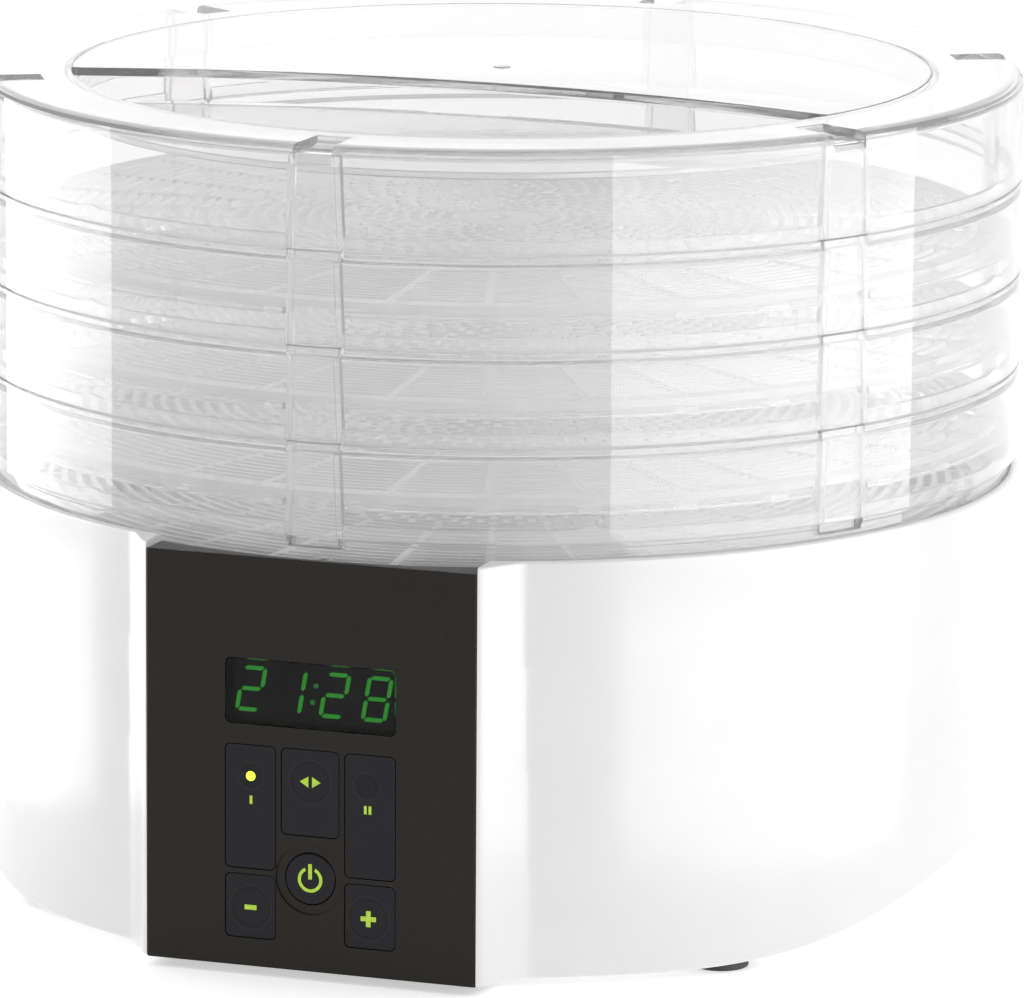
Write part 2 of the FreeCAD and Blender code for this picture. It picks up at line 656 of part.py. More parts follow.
# ---- the whole object ---------------------------------------------------------------------------------
def nodes():
    made = {
        "base_housing": base_housing(),
        "bottom_cover": bottom_cover(),
        "cover_screws": cover_screws(),
        "rubber_feet": rubber_feet(),
        "deck_grille": deck_grille(),
        "deck_screws": deck_screws(),
        "seat_ring": seat_ring(),
        "cord_gland": cord_gland(),
        "panel_body": panel_body(),
        "panel_front": panel_front(),
        "display_window": display_window(),
        "display_digits": display_digits(),
        "display_module": display_module(),
        "indicator_windows": indicator_windows(),
        "indicator_lamps": indicator_lamps(),
        "control_board": control_board(),
        "board_screws": board_screws(),
        "key_switches": key_switches(),
        "key_power": key_power(),
        "key_program": key_block(KEY_PROGRAM),
        "key_time_minus": key_block(KEY_MINUS),
        "key_time_plus": key_block(KEY_PLUS),
        "power_board": power_board(),
        "transformer": transformer(),
        "relay": relay(),
        "capacitors": capacitors(),
        "terminal_block": terminal_block(),
        "ribbon_cable": ribbon_cable(),
        "motor_stator": motor_stator(),
        "motor_coil": motor_coil(),
        "motor_bracket_lower": motor_bracket(40.0, 41.5, 41.4, STATOR_Z0, 44.0),
        "motor_bracket_upper": motor_bracket(66.5, 68.0, STATOR_Z1, 66.6, 36.0),
        "motor_bearings": motor_bearings(),
        "motor_screws": motor_screws(),
        "motor_shaft": motor_shaft(),
        "motor_rotor": motor_rotor(),
        "fan_impeller": fan_impeller(),
        "fan_nut": fan_nut(),
        "air_duct": air_duct(),
        "heater_frame": heater_frame(),
        "heater_coil": heater_coil(),
        "thermal_cutout": thermal_cutout(),
        "thermostat": thermostat(),
        "lid": lid(),
    }
    for number in range(TRAY_COUNT):
        name = "tray_" + str(TRAY_COUNT - number)
        made[name] = tray(STACK_Z + PITCH * number)
        made[name + "_grid"] = tray_grid(STACK_Z + PITCH * number)
    return made


os.makedirs("parts", exist_ok=True)
for name, shape in nodes().items():
    print(name, "solids", len(shape.Solids), "valid", shape.isValid(), "volume", round(shape.Volume / 1000, 2))
    shape.exportStep("parts/" + name + ".step")
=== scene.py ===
"""Looks of the round food dehydrator: white drum base, black control panel, three clear trays and a clear lid.

Every piece is built in millimetres round the drum's axis and written in metres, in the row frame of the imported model.
Angles round the drum are in degrees: 0 is the front and positive angles go towards +X.
"""
import json
import math

import bmesh
import bpy
from mathutils import Matrix, Vector


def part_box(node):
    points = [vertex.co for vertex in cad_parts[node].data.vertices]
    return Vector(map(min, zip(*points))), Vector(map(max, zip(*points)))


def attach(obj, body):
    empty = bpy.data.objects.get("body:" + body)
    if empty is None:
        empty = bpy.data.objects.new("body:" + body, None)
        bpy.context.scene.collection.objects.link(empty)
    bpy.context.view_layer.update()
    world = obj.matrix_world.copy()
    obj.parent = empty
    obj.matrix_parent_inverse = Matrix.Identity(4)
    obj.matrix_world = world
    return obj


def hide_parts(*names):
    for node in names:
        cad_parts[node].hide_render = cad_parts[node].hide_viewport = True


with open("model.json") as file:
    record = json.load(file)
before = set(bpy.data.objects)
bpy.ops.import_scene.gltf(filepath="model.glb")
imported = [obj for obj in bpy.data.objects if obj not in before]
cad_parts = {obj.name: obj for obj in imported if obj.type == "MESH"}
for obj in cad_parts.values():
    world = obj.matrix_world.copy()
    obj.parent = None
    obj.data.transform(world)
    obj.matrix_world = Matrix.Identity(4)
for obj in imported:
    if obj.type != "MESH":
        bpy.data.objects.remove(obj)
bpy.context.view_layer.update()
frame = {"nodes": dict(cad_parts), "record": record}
scene = bpy.context.scene
MM = 0.001


def low_of(node):
    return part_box(node)[0] / MM


def high_of(node):
    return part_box(node)[1] / MM


# ---- sizes taken from the frame -----------------------------------------------------------------------
DRUM_R = round(high_of("tray_3").x, 1)
TAB_DROP = 3.0                                   # each tray's column tabs reach this far below its wall
TRAYS = ("tray_3", "tray_2", "tray_1")
TRAY_LOW = [low_of(name).z + TAB_DROP for name in TRAYS]
PITCH = TRAY_LOW[1] - TRAY_LOW[0]
LID_LOW = low_of("lid").z + TAB_DROP
NUB_TOP = high_of("lid").z
LID_TOP = NUB_TOP - 0.4
BASE_LOW = low_of("base_housing").z
BASE_TOP = high_of("base_housing").z
PANEL_FRONT = -low_of("panel_front").y
PANEL_HALF = high_of("panel_front").x
GLAND = (low_of("cord_gland") + high_of("cord_gland")) / 2
WINDOW_LOW = low_of("display_window")
WINDOW_HIGH = high_of("display_window")
KEY_FACE = -low_of("key_program").y

WALL_IN_R = DRUM_R - 2.0
LIP_OUT_R = DRUM_R - 2.3
LIP_IN_R = DRUM_R - 4.1
LIP_RISE = 5.5
JOINT_GAP = 0.3
COLUMNS = (0, 60, 120, 180, 240, 300)
COLUMN_IN_R = DRUM_R - 5.6                       # hollow columns stand on the inside of the walls
POCKET_IN_R = DRUM_R - 4.0
COLUMN_HALF = 8.25
POCKET_HALF = 6.25
COLUMN_FLARE = 1.2                               # the columns spread downwards
COLUMN_STOP = 3.4                                # room over a column for the next tab
LIP_GAP_HALF = 8.85
TOUCH = 0.02                                     # pieces of one moulding stop this far from each other
RIB_ANGLES = (7.6, 18.8, 30.0, 41.2, 52.4)       # in each 60 degrees between two columns
FLOOR_TOP = 13.5                                 # top of a tray's grid above its wall's lower edge
FLOOR_THICK = 2.2
GRID_R = DRUM_R - 6.5
SEAT_OUT_R = DRUM_R - 2.7
SEAT_IN_R = DRUM_R - 6.4
FLANGE_IN_R = DRUM_R - 7.4


# ---- mesh helpers -------------------------------------------------------------------------------------
def polar(radius, degrees, z):
    angle = math.radians(degrees)
    return (radius * math.sin(angle), -radius * math.cos(angle), z)


def rounded(corners, steps=3):
    """Closed outline whose corners, given as (across, up, radius), are rounded by short curves."""
    points = []
    for index, (across, up, radius) in enumerate(corners):
        corner = Vector((across, up))
        before = Vector(corners[index - 1][:2]) - corner
        after = Vector(corners[(index + 1) % len(corners)][:2]) - corner
        reach = min(radius, 0.45 * before.length, 0.45 * after.length)
        start = corner + before.normalized() * reach
        end = corner + after.normalized() * reach
        for step in range(steps + 1):
            t = step / steps
            points.append(start * (1 - t) ** 2 + corner * (2 * t * (1 - t)) + end * t ** 2)
    return points


def loft(sections, closed=True):
    """Vertices and faces of the skin over sections, which are closed loops of equally many points."""
    count = len(sections[0])
    verts = [point for section in sections for point in section]
    faces = []
    for index in range(len(sections) if closed else len(sections) - 1):
        here = index * count
        there = (index + 1) % len(sections) * count
        for k in range(count):
            after = (k + 1) % count
            faces.append((here + k, here + after, there + after, there + k))
    if not closed:
        faces.append(tuple(range(count)))
        faces.append(tuple(range(len(verts) - count, len(verts))))
    return verts, faces


def joined(parts):
    """One list of vertices and faces from several."""
    verts = []
    faces = []
    for part_verts, part_faces in parts:
        shift = len(verts)
        verts += part_verts
        faces += [tuple(index + shift for index in face) for face in part_faces]
    return verts, faces


def piece(name, shape, finish, body, replaces=(), sharp=32, clear=False):
    """Object from vertices and faces in millimetres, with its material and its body."""
    verts, faces = shape
    mesh = bpy.data.meshes.new(name)
    mesh.from_pydata([Vector(vert) * MM for vert in verts], [], faces)
    shell = bmesh.new()
    shell.from_mesh(mesh)
    bmesh.ops.remove_doubles(shell, verts=shell.verts, dist=0.002 * MM)
    bmesh.ops.dissolve_degenerate(shell, edges=shell.edges, dist=0.001 * MM)
    bmesh.ops.recalc_face_normals(shell, faces=shell.faces)
    shell.to_mesh(mesh)
    shell.free()
    mesh.shade_smooth()
    mesh.set_sharp_from_angle(angle=math.radians(sharp))
    mesh.materials.append(finish)
    made = bpy.data.objects.new(name, mesh)
    scene.collection.objects.link(made)
    weighting = made.modifiers.new("normals", "WEIGHTED_NORMAL")
    weighting.keep_sharp = True
    weighting.weight = 90
    made.visible_shadow = not clear
    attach(made, body)
    if replaces:
        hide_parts(*replaces)
    return made


def lathe(corners, steps=96, corner_steps=3):
    """Turned ring from a closed outline of (radius, height, rounding)."""
    outline = rounded(corners, corner_steps)
    sections = []
    for step in range(steps):
        sections.append([polar(point.x, 360.0 / steps * step, point.y) for point in outline])
    return loft(sections)


def upright_slab(outline, back, front):
    """Flat shape on the panel: outline points (x, z), between two distances in front of the axis."""
    sections = [[(x, -depth, z) for x, z in outline] for depth in (back, front)]
    return loft(sections, closed=False)


# ---- materials ----------------------------------------------------------------------------------------
def shader_of(name):
    made = bpy.data.materials.new(name)
    made.use_nodes = True
    return made, made.node_tree, made.node_tree.nodes["Principled BSDF"]


def noise_in(tree, scale, detail=4.0, stretch=(1.0, 1.0, 1.0)):
    """Noise over the object's own coordinates; scale counts per metre."""
    coords = tree.nodes.new("ShaderNodeTexCoord")
    mapping = tree.nodes.new("ShaderNodeMapping")
    mapping.inputs["Scale"].default_value = stretch
    noise = tree.nodes.new("ShaderNodeTexNoise")
    noise.inputs["Scale"].default_value = scale
    noise.inputs["Detail"].default_value = detail
    tree.links.new(coords.outputs["Object"], mapping.inputs["Vector"])
    tree.links.new(mapping.outputs["Vector"], noise.inputs["Vector"])
    return noise


def tone(tree, source, first, second, low=0.35, high=0.65):
    """Colour ramp from first to second over a source between low and high."""
    ramp = tree.nodes.new("ShaderNodeValToRGB")
    ramp.color_ramp.elements[0].position = low
    ramp.color_ramp.elements[0].color = (*first, 1.0)
    ramp.color_ramp.elements[1].position = high
    ramp.color_ramp.elements[1].color = (*second, 1.0)
    tree.links.new(source, ramp.inputs["Fac"])
    return ramp.outputs["Color"]


def spread_over(tree, source, low, high):
    """Source between 0.3 and 0.7, spread over low to high."""
    span = tree.nodes.new("ShaderNodeMapRange")
    span.inputs["From Min"].default_value = 0.3
    span.inputs["From Max"].default_value = 0.7
    span.inputs["To Min"].default_value = low
    span.inputs["To Max"].default_value = high
    tree.links.new(source, span.inputs["Value"])
    return span.outputs["Result"]


def relief(tree, shader, source, height):
    """Bump of a given height in metres."""
    bump = tree.nodes.new("ShaderNodeBump")
    bump.inputs["Strength"].default_value = 1.0
    bump.inputs["Distance"].default_value = height
    tree.links.new(source, bump.inputs["Height"])
    tree.links.new(bump.outputs["Normal"], shader.inputs["Normal"])


def moulded(name, colour, roughness, grain=900.0, height=0.00001, shift=0.04, coat=0.0, specular=0.5):
    """Moulded plastic or rubber: fine grain, a little cloudiness in its colour and its gloss."""
    made, tree, shader = shader_of(name)
    cloud = noise_in(tree, 35.0)
    fine = noise_in(tree, grain, 2.0)
    darker = [value * (1 - shift) for value in colour]
    lighter = [min(1.0, value * (1 + shift)) for value in colour]
    tree.links.new(tone(tree, cloud.outputs["Fac"], darker, lighter), shader.inputs["Base Color"])
    gloss = spread_over(tree, fine.outputs["Fac"], roughness * 0.75, roughness * 1.25)
    tree.links.new(gloss, shader.inputs["Roughness"])
    relief(tree, shader, fine.outputs["Fac"], height)
    shader.inputs["Specular IOR Level"].default_value = specular
    shader.inputs["Coat Weight"].default_value = coat
    shader.inputs["Coat Roughness"].default_value = 0.04
    return made


def metal(name, colour, roughness, stretch=(1.0, 1.0, 14.0), grain=500.0, height=0.000004, shift=0.12):
    """Metal with fine drawn lines and an uneven tone."""
    made, tree, shader = shader_of(name)
    lines = noise_in(tree, grain, 3.0, stretch)
    darker = [value * (1 - shift) for value in colour]
    lighter = [min(1.0, value * (1 + shift)) for value in colour]
    tree.links.new(tone(tree, lines.outputs["Fac"], darker, lighter), shader.inputs["Base Color"])
    gloss = spread_over(tree, lines.outputs["Fac"], roughness * 0.7, roughness * 1.3)
    tree.links.new(gloss, shader.inputs["Roughness"])
    relief(tree, shader, lines.outputs["Fac"], height)
    shader.inputs["Metallic"].default_value = 1.0
    return made


def banded(name, first, second, roughness, pitch, direction, metallic=0.0, height=0.00005):
    """Even bands across one axis, as on stacked sheets and wound wire."""
    made, tree, shader = shader_of(name)
    coords = tree.nodes.new("ShaderNodeTexCoord")
    wave = tree.nodes.new("ShaderNodeTexWave")
    wave.bands_direction = direction
    wave.inputs["Scale"].default_value = 0.314 / pitch
    wave.inputs["Distortion"].default_value = 0.3
    tree.links.new(coords.outputs["Object"], wave.inputs["Vector"])
    tree.links.new(tone(tree, wave.outputs["Fac"], first, second, 0.2, 0.8), shader.inputs["Base Color"])
    relief(tree, shader, wave.outputs["Fac"], height)
    shader.inputs["Roughness"].default_value = roughness
    shader.inputs["Metallic"].default_value = metallic
    return made


def clear_plastic(name, tint, roughness, waves=0.00004, ior=1.55, clearness=1.0):
    """Clear moulded plastic: slow flow marks in the surface, and a faint haze that comes and goes."""
    made, tree, shader = shader_of(name)
    flow = noise_in(tree, 60.0, 2.0, (1.0, 1.0, 0.45))
    haze = noise_in(tree, 220.0, 3.0)
    gloss = spread_over(tree, haze.outputs["Fac"], roughness * 0.4, roughness * 1.6)
    tree.links.new(gloss, shader.inputs["Roughness"])
    relief(tree, shader, flow.outputs["Fac"], waves)
    shader.inputs["Base Color"].default_value = (*tint, 1.0)
    shader.inputs["Transmission Weight"].default_value = clearness
    shader.inputs["IOR"].default_value = ior
    return made


def lit(name, colour, strength, grain=1500.0):
    """Surface that glows from a light behind it, a little unevenly."""
    made, tree, shader = shader_of(name)
    patch = noise_in(tree, grain, 2.0)
    dimmer = [value * 0.82 for value in colour]
    glow = tone(tree, patch.outputs["Fac"], dimmer, colour)
    tree.links.new(glow, shader.inputs["Base Color"])
    tree.links.new(glow, shader.inputs["Emission Color"])
    shader.inputs["Emission Strength"].default_value = strength
    shader.inputs["Roughness"].default_value = 0.35
    return made


def finishes():
    """Material for each slot of the record."""
    made = {
        "white_shell": moulded("white_shell", (0.78, 0.78, 0.788), 0.2, 700.0, 0.000002, 0.012),
        "clear_stack": clear_plastic("clear_stack", (0.992, 0.987, 0.992), 0.03, 0.00002, 1.42, 0.89),
        "clear_lid": clear_plastic("clear_lid", (0.99, 0.985, 0.99), 0.03, 0.00002, 1.25, 0.95),
        "clear_grid": clear_plastic("clear_grid", (0.992, 0.986, 0.991), 0.05, 0.00003, 1.45, 0.66),
        "panel_gloss": moulded("panel_gloss", (0.013, 0.011, 0.0085), 0.30, 1600.0, 0.000002, 0.05, specular=0.2),
        "panel_moulding": moulded("panel_moulding", (0.045, 0.042, 0.038), 0.38, 1800.0, 0.000012, 0.08),
        "smoked_window": clear_plastic("smoked_window", (0.30, 0.28, 0.30), 0.0, 0.0, 1.2),
        "key_film": moulded("key_film", (0.010, 0.0093, 0.0125), 0.34, 2400.0, 0.000004, 0.06, specular=0.2),
        "digit_light": lit("digit_light", (0.05, 0.62, 0.05), 1.15),
        "lamp_light": lit("lamp_light", (0.62, 0.86, 0.03), 2.2),
        "foot_rubber": moulded("foot_rubber", (0.028, 0.027, 0.027), 0.62, 1300.0, 0.00003, 0.2),
        "cover_plastic": moulded("cover_plastic", (0.78, 0.78, 0.78), 0.42, 1100.0, 0.00004, 0.04),
        "gland_black": moulded("gland_black", (0.04, 0.04, 0.04), 0.5, 1200.0, 0.00003, 0.15),
        "steel": metal("steel", (0.62, 0.62, 0.63), 0.28),
        "lamination": banded("lamination", (0.16, 0.17, 0.18), (0.36, 0.37, 0.39), 0.4, 0.0008, "Z", 0.6),
        "copper": banded("copper", (0.38, 0.13, 0.05), (0.78, 0.37, 0.17), 0.25, 0.0009, "Z", 1.0),
        "bronze": metal("bronze", (0.62, 0.44, 0.2), 0.36, (1.0, 1.0, 1.0), 900.0),
        "board_green": moulded("board_green", (0.02, 0.19, 0.075), 0.3, 400.0, 0.00003, 0.3, 0.2),
        "component_black": moulded("component_black", (0.035, 0.035, 0.04), 0.45, 1500.0, 0.00002, 0.15),
        "component_blue": moulded("component_blue", (0.04, 0.09, 0.36), 0.3, 800.0, 0.00001, 0.1, 0.2),
        "core_steel": banded("core_steel", (0.2, 0.21, 0.22), (0.42, 0.43, 0.44), 0.42, 0.0009, "X", 0.5),
        "ribbon_grey": banded("ribbon_grey", (0.42, 0.42, 0.44), (0.68, 0.68, 0.70), 0.5, 0.00127, "X"),
        "fan_plastic": moulded("fan_plastic", (0.07, 0.07, 0.075), 0.4, 1000.0, 0.00003, 0.12),
        "mica": moulded("mica", (0.70, 0.62, 0.44), 0.5, 260.0, 0.00006, 0.18),
        "heater_wire": banded("heater_wire", (0.24, 0.21, 0.19), (0.58, 0.53, 0.48), 0.35, 0.0016, "Y", 1.0),
        "galvanised": metal("galvanised", (0.66, 0.67, 0.69), 0.3, (1.0, 1.0, 1.0), 140.0, 0.00001, 0.2),
    }
    return made


finish_of = finishes()


def dress_cad_nodes():
    """Each CAD node that stays in view takes the finish of its slot."""
    for row in frame["record"]["subparts"]:
        node = frame["nodes"][row["node"]]
        node.data.materials.clear()
        node.data.materials.append(finish_of[row["material_slot"]])
        node.data.set_sharp_from_angle(angle=math.radians(30))
    frame["nodes"]["display_window"].visible_shadow = False


dress_cad_nodes()


# ---- clear trays --------------------------------------------------------------------------------------
def across_degrees(width):
    """Angle that a width takes on the inside of the wall."""
    return math.degrees(width / WALL_IN_R)


def places_round(half, fine=0.4, plain_step=1.0):
    """Places round a wall, as (degrees, at_column): a band of this half width over each column is marked."""
    reach = across_degrees(half + fine)
    places = []
    for centre in COLUMNS:
        for along in (-half, -half / 2, 0.0, half / 2, half):
            places.append((centre + across_degrees(along), True))
        count = round((60.0 - 2 * reach) / plain_step)
        for step in range(count + 1):
            places.append((centre + reach + (60.0 - 2 * reach) * step / count, False))
    return places


def lip_bump(degrees):
    """Small rise in the lip midway between two columns."""
    off = (degrees % 60.0 - 30.0) / 1.3
    return 1.1 * math.exp(-off * off)


def tray_wall_corners(low, degrees, at_column):
    top = low + PITCH
    foot = low + JOINT_GAP
    outside = [(WALL_IN_R, foot, 0.4), (DRUM_R, foot, 0.6), (DRUM_R, top, 0.7)]
    if at_column:
        return outside + [(WALL_IN_R + 0.9, top, 0.1), (WALL_IN_R + 0.6, top, 0.1), (WALL_IN_R + 0.3, top, 0.1),
                          (WALL_IN_R, top, 0.2), (WALL_IN_R, top - 3.6, 0.2)]
    lip = top + LIP_RISE + lip_bump(degrees) - 1.1
    return outside + [(LIP_OUT_R, top, 0.4), (LIP_OUT_R, lip, 0.7), (LIP_IN_R, lip, 0.7), (LIP_IN_R, top - 2.5, 0.6),
                      (WALL_IN_R, top - 3.6, 0.8)]


def tray_wall(low):
    sections = []
    for degrees, at_column in places_round(LIP_GAP_HALF):
        outline = rounded(tray_wall_corners(low, degrees, at_column))
        sections.append([polar(point.x, degrees, point.y) for point in outline])
    return loft(sections)


def plan_section(corners, centre, z):
    """Outline in plan, from corners given as (across, radius, rounding) at a column's middle."""
    return [polar(point.y, centre + across_degrees(point.x), z) for point in rounded(corners)]


def column_post(centre, low, top, drop):
    """Hollow column on the inside of a wall, open at its back, wider at its foot, with a tab below it."""
    sections = []
    foot = low + JOINT_GAP
    levels = [foot + (top - foot) * step / 3 for step in range(4)]
    back = WALL_IN_R - TOUCH
    for z in levels:
        lean = COLUMN_FLARE * (top - z) / (top - foot)
        out = COLUMN_HALF + lean
        inside = POCKET_HALF + lean
        corners = [(-out, back, 0.1), (-out, COLUMN_IN_R, 0.9), (out, COLUMN_IN_R, 0.9), (out, back, 0.1)]
        corners += [(inside, back, 0.1), (inside, POCKET_IN_R, 0.5), (-inside, POCKET_IN_R, 0.5), (-inside, back, 0.1)]
        sections.append(plan_section(corners, centre, z))
    tab_half = COLUMN_HALF - 1.0
    tab_corners = [(-tab_half, POCKET_IN_R, 0.3), (-tab_half, COLUMN_IN_R, 0.6), (tab_half, COLUMN_IN_R, 0.6), (tab_half, POCKET_IN_R, 0.3)]
    tab = [plan_section(tab_corners, centre, z) for z in (low - drop, foot - TOUCH)]
    return joined([loft(sections, closed=False), loft(tab, closed=False)])


def flange_arcs(low):
    """Flange under the grid, between the columns."""
    top = low + FLOOR_TOP - FLOOR_THICK - 0.1
    clear = across_degrees(COLUMN_HALF + COLUMN_FLARE + 0.6)
    outline = rounded([(FLANGE_IN_R, top - 2.0, 0.5), (WALL_IN_R - TOUCH, top - 2.0, 0.2), (WALL_IN_R - TOUCH, top, 0.2), (FLANGE_IN_R, top, 0.5)])
    arcs = []
    for centre in COLUMNS:
        angles = [centre + clear + (60.0 - 2 * clear) * step / 40 for step in range(41)]
        sections = [[polar(point.x, degrees, point.y) for point in outline] for degrees in angles]
        arcs.append(loft(sections, closed=False))
    return arcs


def tray_shape(low):
    posts = [column_post(centre, low, low + PITCH - COLUMN_STOP, TAB_DROP) for centre in COLUMNS]
    return joined([tray_wall(low)] + posts + flange_arcs(low))


def pierced_plate(radii, angles, top, bottom_of):
    """Closed plate in polar cells. bottom_of(r, degrees) gives a cell's underside, or None where it is open."""
    rings = len(radii) - 1
    turns = len(angles) - 1
    cells = {}
    for i in range(rings):
        for j in range(turns):
            cells[i, j] = bottom_of((radii[i] + radii[i + 1]) / 2, (angles[j] + angles[j + 1]) / 2)
    verts = []
    index_of = {}

    def vert(i, j, z):
        key = (i, j % turns, round(z, 4))
        if key not in index_of:
            index_of[key] = len(verts)
            verts.append(polar(radii[i], angles[j % turns], z))
        return index_of[key]

    faces = []
    for (i, j), bottom in cells.items():
        if bottom is None:
            continue
        faces.append((vert(i, j, top), vert(i + 1, j, top), vert(i + 1, j + 1, top), vert(i, j + 1, top)))
        faces.append((vert(i, j, bottom), vert(i, j + 1, bottom), vert(i + 1, j + 1, bottom), vert(i + 1, j, bottom)))
        edges = [((i - 1, j), (i, j), (i, j + 1)), ((i + 1, j), (i + 1, j + 1), (i + 1, j))]
        edges += [((i, (j - 1) % turns), (i + 1, j), (i, j)), ((i, (j + 1) % turns), (i, j + 1), (i + 1, j + 1))]
        for beside, first, second in edges:
            other = cells.get(beside)
            upper = top if other is None else other
            if upper > bottom:
                faces.append((vert(*first, bottom), vert(*first, upper), vert(*second, upper), vert(*second, bottom)))
    return verts, faces


SLAT_R0 = 85.5
SLAT_PITCH = 4.5
SLAT_GAP = 2.7
SLAT_COUNT = 15
RIB_HALF = 0.5                                   # degrees
BLOCK_HALF = 1.1
MESH_PITCH = 5.2


def near_rib(degrees, half):
    return any(abs((degrees % 60.0) - rib) < half for rib in RIB_ANGLES)


def outer_floor(top, edge_r=GRID_R):
    """Outer band of a grid: long curved slats between radial ribs, and the rim that it rests on."""
    slat_end = SLAT_R0 + SLAT_PITCH * SLAT_COUNT
    radii = [SLAT_R0 - 1.5]
    for index in range(SLAT_COUNT):
        radii += [SLAT_R0 + SLAT_PITCH * index, SLAT_R0 + SLAT_PITCH * index + SLAT_GAP]
    radii += [slat_end, FLANGE_IN_R - 0.5, edge_r]
    cuts = [0.0, 1.9, 3.8, 5.3]
    for rib in RIB_ANGLES:
        cuts += [rib - BLOCK_HALF, rib - RIB_HALF, rib + RIB_HALF, rib + BLOCK_HALF]
        cuts += [rib + BLOCK_HALF + 3.0, rib + BLOCK_HALF + 6.0] if rib < 50 else [55.4, 57.7]
    angles = [column + cut for column in COLUMNS for cut in cuts] + [360.0]

    def bottom_of(radius, degrees):
        if radius > slat_end:
            block = radius < FLANGE_IN_R - 0.5 and near_rib(degrees, BLOCK_HALF)
            return top - (5.4 if block else FLOOR_THICK)
        if near_rib(degrees, RIB_HALF):
            return top - 4.0
        if radius < SLAT_R0:
            return top - 3.4
        in_gap = (radius - SLAT_R0) % SLAT_PITCH < SLAT_GAP
        return None if in_gap else top - 1.7

    return pierced_plate(radii, angles, top, bottom_of)


def inner_floor(top, r0, r1, openings):
    """Netting of short staggered openings between two radii."""
    rings = round((r1 - r0) / MESH_PITCH)
    pitch = (r1 - r0) / rings
    radii = [r0]
    for index in range(rings):
        radii += [r0 + pitch * index + 1.4, r0 + pitch * (index + 1)]
    angles = [90.0 / openings * step for step in range(4 * openings + 1)]

    def bottom_of(radius, degrees):
        row = int((radius - r0) / pitch)
        in_bar = (radius - r0) % pitch < 1.4
        step = int(degrees / (90.0 / openings)) + (2 if row % 2 else 0)
        if in_bar:
            return top - 1.8
        return top - 2.2 if step % 4 == 0 else None

    return pierced_plate(radii, angles, top, bottom_of)


def grid_shape(top, edge_r=GRID_R):
    hub = lathe([(3.0, top - 2.6, 0.4), (13.9, top - 2.6, 0.4), (13.9, top, 0.4), (3.0, top, 0.4)], 48)
    inner_edge = SLAT_R0 - 1.55
    return joined([outer_floor(top, edge_r), inner_floor(top, 50.0, inner_edge, 60), inner_floor(top, 14.0, 49.95, 30), hub])


def build_trays():
    for name, low in zip(TRAYS, TRAY_LOW):
        plastic = finish_of["clear_stack"]
        grid = name + "_grid"
        piece(name + "_wall", tray_shape(low), plastic, name, (name,), clear=True)
        piece(name + "_mesh", grid_shape(low + FLOOR_TOP), finish_of["clear_grid"], grid, (grid,), clear=True)


def seat_corners(degrees, at_column):
    foot = low_of("seat_ring").z
    top = TRAY_LOW[0] - 0.5
    if at_column:
        notch = TRAY_LOW[0] - TAB_DROP - 0.4
        inwards = [(SEAT_OUT_R, notch, 0.2)] + [(SEAT_OUT_R - 0.6 * step, notch, 0.1) for step in (1, 2, 3, 4)]
        return [(SEAT_IN_R, foot, 0.3), (SEAT_OUT_R, foot, 0.3)] + inwards + [(SEAT_IN_R, notch, 0.3)]
    lip = TRAY_LOW[0] + LIP_RISE + lip_bump(degrees) - 1.1
    return [(SEAT_IN_R, foot, 0.3), (SEAT_OUT_R, foot, 0.3), (SEAT_OUT_R, top - 1.0, 0.2), (LIP_OUT_R, top - 0.8, 0.2),
            (LIP_OUT_R, lip, 0.6), (LIP_IN_R, lip, 0.6), (LIP_IN_R, top, 0.3), (SEAT_IN_R, top, 0.5)]


def build_seat():
    """Clear ring and fine grid in the base's rim."""
    sections = []
    for degrees, at_column in places_round(LIP_GAP_HALF):
        outline = rounded(seat_corners(degrees, at_column))
        sections.append([polar(point.x, degrees, point.y) for point in outline])
    piece("seat_ring_clear", loft(sections), finish_of["clear_stack"], "base", ("seat_ring",), clear=True)
    deck = grid_shape(low_of("deck_grille").z + 2.5, high_of("deck_grille").x)
    piece("deck_mesh", deck, finish_of["clear_grid"], "base", ("deck_grille",), clear=True)


# ---- clear lid ----------------------------------------------------------------------------------------
LID_UNDER = LID_TOP - 2.6
RING_R = 137.7                                   # drum ring under the lid
RING_IN_R = RING_R - 2.0
RING_LOW = LID_TOP - 13.0
NOTCH_HALF = 6.0
RECESS_ARC_R = 370.0
RECESS_ARC_Y = -400.0
RECESS_WALL = 1.5


def lid_shell_corners(in_notch):
    foot = LID_LOW + JOINT_GAP
    if in_notch:
        top = [(DRUM_R, LID_TOP - 4.2, 1.6), (159.0, LID_TOP - 1.9, 1.5), (149.2, LID_TOP - 1.4, 0.2)]
        top += [(148.9, LID_TOP - 2.2, 0.2), (146.6, LID_TOP - 2.2, 0.2), (146.3, LID_TOP, 0.3)]
    else:
        top = [(DRUM_R, LID_TOP, 3.4), (158.0, LID_TOP, 0.3), (153.0, LID_TOP, 0.3)]
        top += [(149.5, LID_TOP, 0.2), (148.0, LID_TOP, 0.2), (146.0, LID_TOP, 0.2)]
    ring = [(RING_IN_R, LID_TOP, 0.9), (RING_IN_R, RING_LOW, 0.6), (RING_R, RING_LOW, 0.6), (RING_R, LID_UNDER, 0.8)]
    return [(WALL_IN_R, foot, 0.4), (DRUM_R, foot, 0.6)] + top + ring + [(WALL_IN_R, LID_UNDER, 1.2)]


def lid_shell():
    """Wall, rim and outer plate of the lid with the ring under it, notched over each column."""
    sections = []
    for degrees, in_notch in places_round(NOTCH_HALF, 0.3):
        outline = rounded(lid_shell_corners(in_notch))
        sections.append([polar(point.x, degrees, point.y) for point in outline])
    posts = [column_post(centre, LID_LOW, LID_UNDER - TOUCH, TAB_DROP) for centre in COLUMNS]
    return joined([loft(sections)] + posts)


